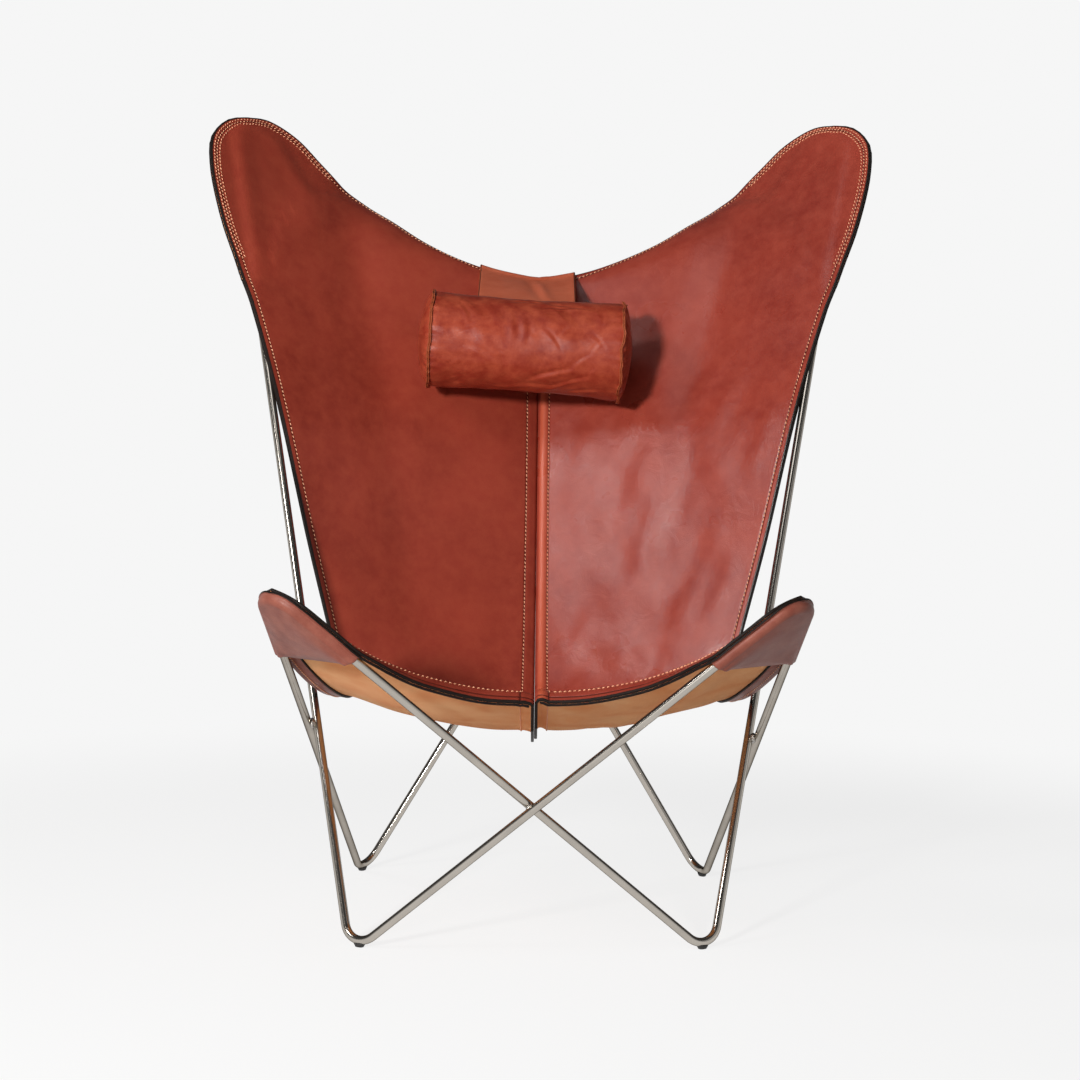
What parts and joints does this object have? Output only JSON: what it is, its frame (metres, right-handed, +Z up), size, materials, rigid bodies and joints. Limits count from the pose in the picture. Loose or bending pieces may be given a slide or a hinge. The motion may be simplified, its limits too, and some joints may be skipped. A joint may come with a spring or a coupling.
{
  "type": "butterfly sling chair",
  "caption": "Lounge chair with a leather sling hung on two crossed bent steel rod loops, and a counterweighted headrest roll on a strap over the back.",
  "frame": {"origin": "on the floor under the middle of the chair's bounding box", "axes": "+Z up, -Y the way a sitter faces (the front), +X to the right in a view from the front"},
  "size_m": [0.9478, 0.838, 1.0945],
  "materials": {
    "rod_steel": "polished",
    "glide_rubber": "matt",
    "panel_leather": "waxed grain, satin",
    "pocket_leather": "waxed grain, satin",
    "hem_leather": "waxed grain with painted edges",
    "headrest_leather": "soft, lightly wrinkled",
    "headrest_filling": "soft filling",
    "weight_steel": "plain"
  },
  "bodies": {
    "chair": {"left_loop_front_foot_bend": "rod_steel", "left_loop_front_rod": "rod_steel", "left_loop_front_tip_bend": "rod_steel", "left_loop_seat_side_rod": "rod_steel", "left_loop_back_foot_bend": "rod_steel", "left_loop_back_rod": "rod_steel", "left_loop_wing_tip_bend": "rod_steel", "left_loop_wing_side_rod": "rod_steel", "right_loop_front_foot_bend": "rod_steel", "right_loop_front_rod": "rod_steel", "right_loop_front_tip_bend": "rod_steel", "right_loop_seat_side_rod": "rod_steel", "right_loop_back_foot_bend": "rod_steel", "right_loop_back_rod": "rod_steel", "right_loop_wing_tip_bend": "rod_steel", "right_loop_wing_side_rod": "rod_steel", "weld_front": "rod_steel", "weld_back": "rod_steel", "weld_side_left": "rod_steel", "weld_side_right": "rod_steel", "glide_front_left": "glide_rubber", "glide_front_right": "glide_rubber", "glide_back_right": "glide_rubber", "glide_back_left": "glide_rubber", "sling_panel_left": "panel_leather", "wing_pocket_left": "pocket_leather", "front_pocket_left": "pocket_leather", "front_hem_left": "hem_leather", "side_hem_left": "hem_leather", "top_hem_left": "hem_leather", "sling_panel_right": "panel_leather", "wing_pocket_right": "pocket_leather", "front_pocket_right": "pocket_leather", "front_hem_right": "hem_leather", "side_hem_right": "hem_leather", "top_hem_right": "hem_leather", "strap_over_top": "headrest_leather", "strap_front": "headrest_leather", "strap_rear": "headrest_leather"},
    "headrest": {"headrest_cover": "headrest_leather", "headrest_core": "headrest_filling", "headrest_end_left": "headrest_leather", "headrest_end_right": "headrest_leather"},
    "counterweight": {"counterweight_pouch": "headrest_leather", "counterweight_bar": "weight_steel"}
  },
  "joints": [
    {"name": "headrest_slide", "type": "slide", "parent": "chair", "child": "headrest", "axis": [0, 0.4853, 0.8744], "range_m": [-0.12, 0.02], "deforming": ["strap_front"]},
    {"name": "counterweight_slide", "type": "slide", "parent": "chair", "child": "counterweight", "axis": [0, 0, 1], "range_m": [-0.02, 0.12], "deforming": ["strap_rear"]}
  ],
  "couplings": [
    {"joint": "counterweight_slide", "follows": "headrest_slide", "ratio": -1}
  ]
}
